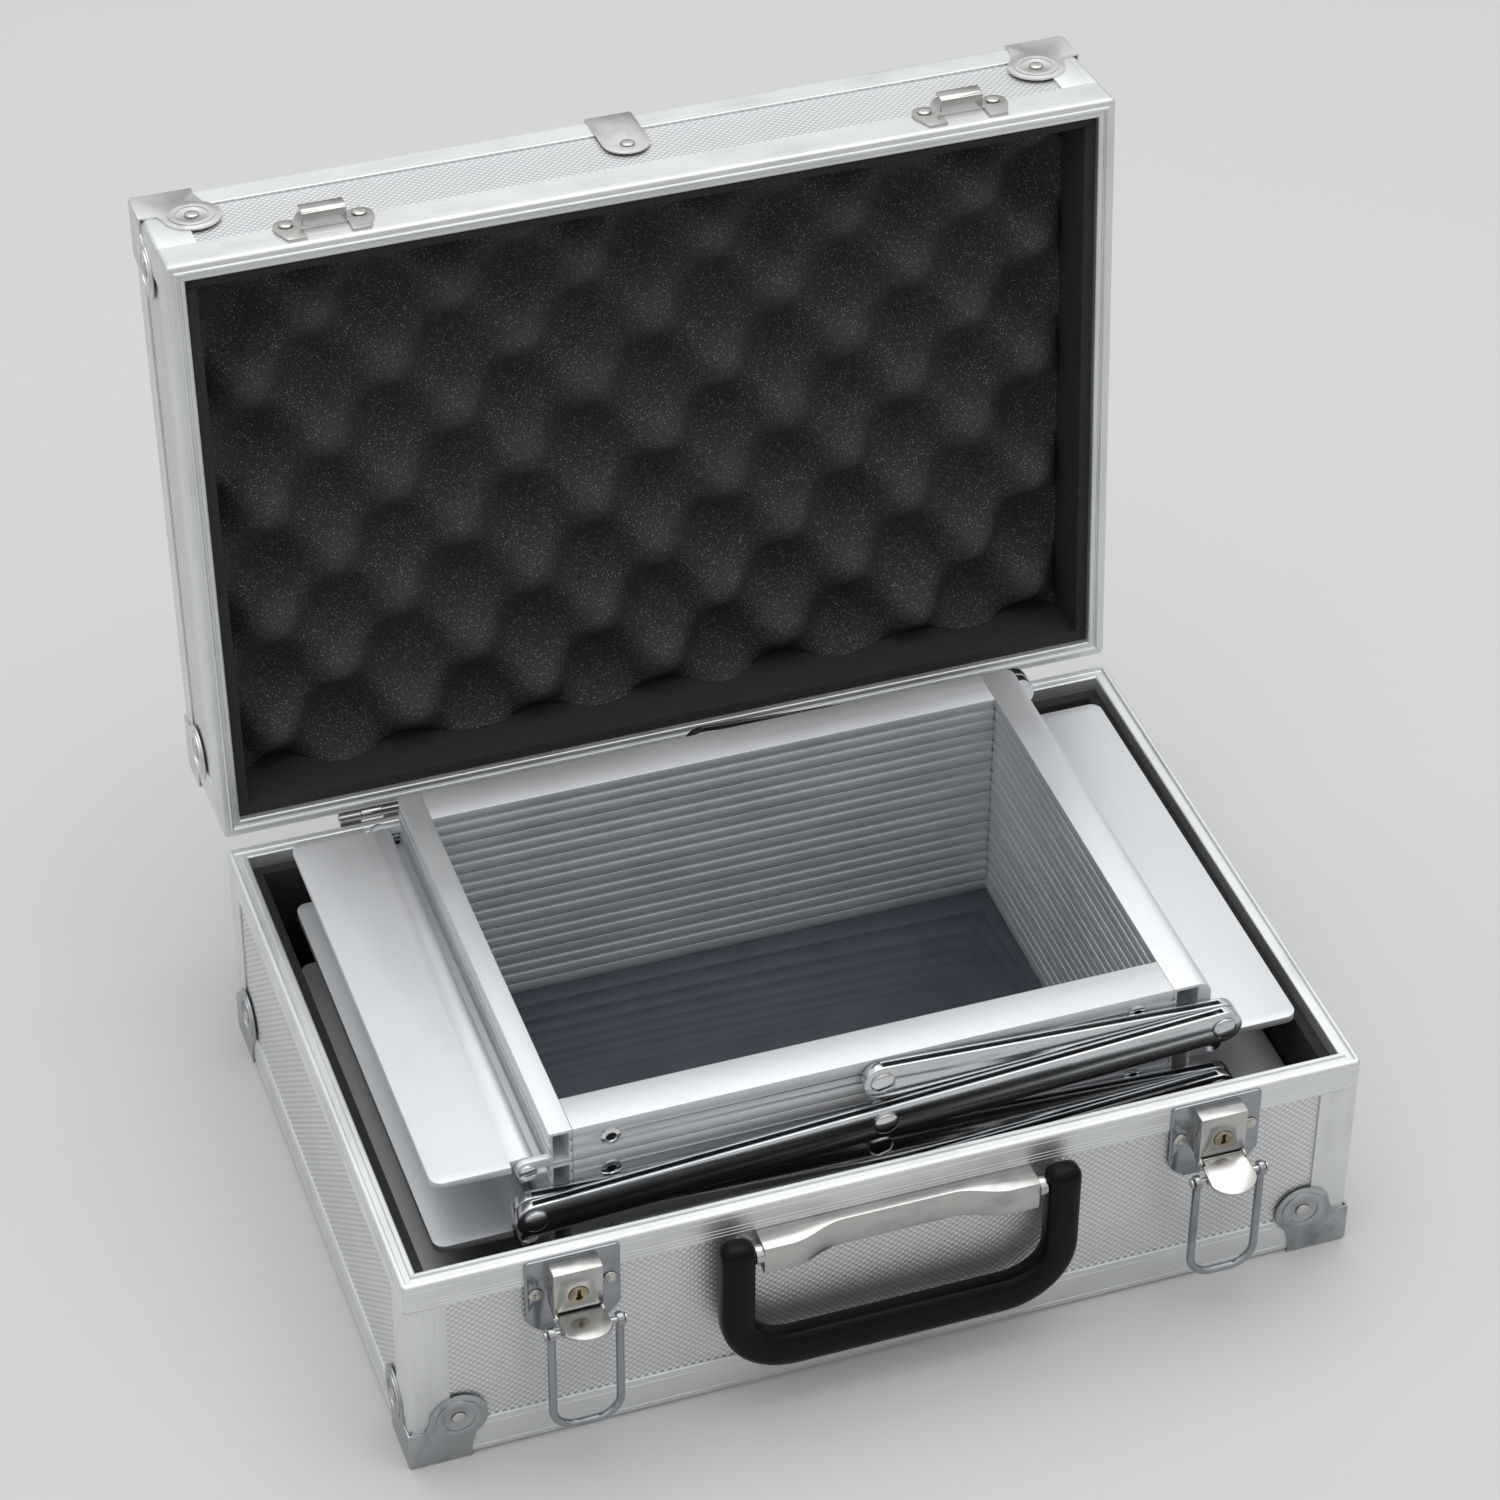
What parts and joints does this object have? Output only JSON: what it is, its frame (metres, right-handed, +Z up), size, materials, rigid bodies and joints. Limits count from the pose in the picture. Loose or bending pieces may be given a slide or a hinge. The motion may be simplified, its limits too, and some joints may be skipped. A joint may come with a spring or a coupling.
{
  "type": "brochure case",
  "caption": "Aluminium carrying case with drawbolt latches, hinged foam-lined lid and handle, holding a folding zig-zag brochure stand of hinged frames and links.",
  "frame": {"origin": "centre of the open case's footprint, on the surface that it stands on", "axes": "+X to the case's right side, +Y to its hinge side, +Z up"},
  "size_m": [0.4036, 0.3876, 0.3819],
  "materials": {
    "aluminium_profile": "satin anodised extruded aluminium",
    "panel_skin": "fibreboard faced with a fine diamond-embossed aluminium sheet",
    "cap_steel": "nickel-plated pressed steel",
    "latch_chrome": "bright chrome-plated pressed steel",
    "rivet_steel": "plain steel rivets",
    "lock_brass": "nickel-washed brass",
    "grip_plastic": "black moulded plastic, fine grain",
    "lining_foam": "black open-cell polyurethane foam",
    "egg_crate_foam": "black open-cell polyurethane foam, egg-crate cut",
    "stand_aluminium": "satin anodised extruded aluminium",
    "link_chrome": "bright plated steel channel",
    "fitting_steel": "plated steel bolts, screws and pins",
    "floor_panel": "dark glossy plastic sheet"
  },
  "bodies": {
    "base": {"base_bottom_panel": "panel_skin", "base_wall_panels": "panel_skin", "base_rim_frame": "aluminium_profile", "base_bottom_edging": "aluminium_profile", "base_corner_posts": "aluminium_profile", "base_corner_caps": "cap_steel", "base_rivets": "rivet_steel", "base_wall_foam": "lining_foam", "base_floor_foam": "lining_foam", "latch_plates": "latch_chrome", "latch_housings": "latch_chrome", "lever_pins": "latch_chrome", "handle_bracket": "latch_chrome", "handle_pins": "latch_chrome", "hinge_base_leaves": "latch_chrome", "hinge_pins": "latch_chrome"},
    "lid": {"lid_top_panel": "panel_skin", "lid_wall_panels": "panel_skin", "lid_rim_frame": "aluminium_profile", "lid_top_edging": "aluminium_profile", "lid_corner_posts": "aluminium_profile", "lid_corner_caps": "cap_steel", "lid_middle_clip": "cap_steel", "lid_catches": "latch_chrome", "lid_rivets": "rivet_steel", "lid_wall_foam": "lining_foam", "lid_egg_crate_foam": "egg_crate_foam", "hinge_lid_leaves": "latch_chrome"},
    "handle": {"handle_grip": "grip_plastic"},
    "lever_left": {"lever_left": "latch_chrome"},
    "bail_carrier_left": {"bail_pins_left": "latch_chrome"},
    "bail_left": {"bail_left": "latch_chrome"},
    "lock_left": {"lock_cylinder_left": "lock_brass"},
    "lever_right": {"lever_right": "latch_chrome"},
    "bail_carrier_right": {"bail_pins_right": "latch_chrome"},
    "bail_right": {"bail_right": "latch_chrome"},
    "lock_right": {"lock_cylinder_right": "lock_brass"},
    "stand_frame_1": {"frame_1": "stand_aluminium", "stand_floor_panel": "floor_panel", "fittings_1": "fitting_steel"},
    "stand_frame_2": {"frame_2": "stand_aluminium", "fittings_2": "fitting_steel"},
    "stand_link_2": {"link_2": "link_chrome"},
    "stand_frame_3": {"frame_3": "stand_aluminium", "fittings_3": "fitting_steel"},
    "stand_link_3": {"link_3": "link_chrome"},
    "stand_frame_4": {"frame_4": "stand_aluminium", "fittings_4": "fitting_steel"},
    "stand_link_4": {"link_4": "link_chrome"},
    "stand_frame_5": {"frame_5": "stand_aluminium", "fittings_5": "fitting_steel"},
    "stand_link_5": {"link_5": "link_chrome"},
    "stand_frame_6": {"frame_6": "stand_aluminium", "fittings_6": "fitting_steel"},
    "stand_link_6": {"link_6": "link_chrome"},
    "stand_frame_7": {"frame_7": "stand_aluminium", "fittings_7": "fitting_steel"},
    "stand_link_7": {"link_7": "link_chrome"}
  },
  "joints": [
    {"name": "lid_hinge", "type": "hinge", "parent": "base", "child": "lid", "pos_m": [0, 0.10918, 0.1014], "axis": [-1, 0, 0], "range_deg": [-95.2, 0], "deforming": ["lid_egg_crate_foam"]},
    {"name": "handle_swing", "type": "hinge", "parent": "base", "child": "handle", "pos_m": [-0.0005, -0.17462, 0.0825], "axis": [-1, 0, 0], "range_deg": [0, 95]},
    {"name": "lever_left_turn", "type": "hinge", "parent": "base", "child": "lever_left", "pos_m": [-0.1325, -0.17462, 0.073], "axis": [-1, 0, 0], "range_deg": [-97, 20]},
    {"name": "bail_carrier_left_turn", "type": "hinge", "parent": "lever_left", "child": "bail_carrier_left", "pos_m": [-0.1325, -0.18256, 0.07397], "axis": [-1, 0, 0], "range_deg": [-35, 112]},
    {"name": "bail_left_swing", "type": "hinge", "parent": "bail_carrier_left", "child": "bail_left", "pos_m": [-0.1325, -0.18256, 0.07397], "axis": [1, 0, 0], "range_deg": [-185, 5]},
    {"name": "lock_left_turn", "type": "hinge", "parent": "base", "child": "lock_left", "pos_m": [-0.1325, -0.17462, 0.084], "axis": [0, 1, 0], "range_deg": [0, 90]},
    {"name": "lever_right_turn", "type": "hinge", "parent": "base", "child": "lever_right", "pos_m": [0.1365, -0.17462, 0.073], "axis": [-1, 0, 0], "range_deg": [-77, 40]},
    {"name": "bail_carrier_right_turn", "type": "hinge", "parent": "lever_right", "child": "bail_carrier_right", "pos_m": [0.1365, -0.18241, 0.0712], "axis": [-1, 0, 0], "range_deg": [-55, 92]},
    {"name": "bail_right_swing", "type": "hinge", "parent": "bail_carrier_right", "child": "bail_right", "pos_m": [0.1365, -0.18241, 0.0712], "axis": [1, 0, 0], "range_deg": [-185, 5]},
    {"name": "lock_right_turn", "type": "hinge", "parent": "base", "child": "lock_right", "pos_m": [0.1365, -0.17462, 0.084], "axis": [0, 1, 0], "range_deg": [0, 90]},
    {"name": "stand_lift", "type": "slide", "parent": "base", "child": "stand_frame_1", "axis": [0, 0, 1], "range_m": [0, 0.12]},
    {"name": "stand_unfold", "type": "hinge", "parent": "stand_frame_1", "child": "stand_frame_2", "pos_m": [0.148, -0.02662, 0.029], "axis": [0, 1, 0], "range_deg": [0, 52]},
    {"name": "link_2_turn", "type": "hinge", "parent": "stand_frame_2", "child": "stand_link_2", "pos_m": [0.004, -0.02662, 0.0375], "axis": [0, 1, 0], "range_deg": [-104, 0]},
    {"name": "frame_3_fold", "type": "hinge", "parent": "stand_frame_2", "child": "stand_frame_3", "pos_m": [-0.14, -0.02662, 0.046], "axis": [0, 1, 0], "range_deg": [-104, 0]},
    {"name": "link_3_turn", "type": "hinge", "parent": "stand_frame_3", "child": "stand_link_3", "pos_m": [0.004, -0.02662, 0.0545], "axis": [0, 1, 0], "range_deg": [0, 104]},
    {"name": "frame_4_fold", "type": "hinge", "parent": "stand_frame_3", "child": "stand_frame_4", "pos_m": [0.148, -0.02662, 0.063], "axis": [0, 1, 0], "range_deg": [0, 104]},
    {"name": "link_4_turn", "type": "hinge", "parent": "stand_frame_4", "child": "stand_link_4", "pos_m": [0.004, -0.02662, 0.0715], "axis": [0, 1, 0], "range_deg": [-104, 0]},
    {"name": "frame_5_fold", "type": "hinge", "parent": "stand_frame_4", "child": "stand_frame_5", "pos_m": [-0.14, -0.02662, 0.08], "axis": [0, 1, 0], "range_deg": [-104, 0]},
    {"name": "link_5_turn", "type": "hinge", "parent": "stand_frame_5", "child": "stand_link_5", "pos_m": [0.004, -0.02662, 0.0885], "axis": [0, 1, 0], "range_deg": [0, 104]},
    {"name": "frame_6_fold", "type": "hinge", "parent": "stand_frame_5", "child": "stand_frame_6", "pos_m": [0.148, -0.02662, 0.097], "axis": [0, 1, 0], "range_deg": [0, 104]},
    {"name": "link_6_turn", "type": "hinge", "parent": "stand_frame_6", "child": "stand_link_6", "pos_m": [0.004, -0.02662, 0.1055], "axis": [0, 1, 0], "range_deg": [-104, 0]},
    {"name": "frame_7_fold", "type": "hinge", "parent": "stand_frame_6", "child": "stand_frame_7", "pos_m": [-0.14, -0.02662, 0.114], "axis": [0, 1, 0], "range_deg": [-104, 0]},
    {"name": "link_7_turn", "type": "hinge", "parent": "stand_frame_7", "child": "stand_link_7", "pos_m": [0.004, -0.02662, 0.1225], "axis": [0, 1, 0], "range_deg": [0, 104]}
  ],
  "couplings": [
    {"joint": "bail_carrier_left_turn", "follows": "lever_left_turn", "ratio": -1},
    {"joint": "bail_carrier_right_turn", "follows": "lever_right_turn", "ratio": -1},
    {"joint": "link_2_turn", "follows": "stand_unfold", "ratio": -2},
    {"joint": "frame_3_fold", "follows": "stand_unfold", "ratio": -2},
    {"joint": "link_3_turn", "follows": "stand_unfold", "ratio": 2},
    {"joint": "frame_4_fold", "follows": "stand_unfold", "ratio": 2},
    {"joint": "link_4_turn", "follows": "stand_unfold", "ratio": -2},
    {"joint": "frame_5_fold", "follows": "stand_unfold", "ratio": -2},
    {"joint": "link_5_turn", "follows": "stand_unfold", "ratio": 2},
    {"joint": "frame_6_fold", "follows": "stand_unfold", "ratio": 2},
    {"joint": "link_6_turn", "follows": "stand_unfold", "ratio": -2},
    {"joint": "frame_7_fold", "follows": "stand_unfold", "ratio": -2},
    {"joint": "link_7_turn", "follows": "stand_unfold", "ratio": 2}
  ]
}
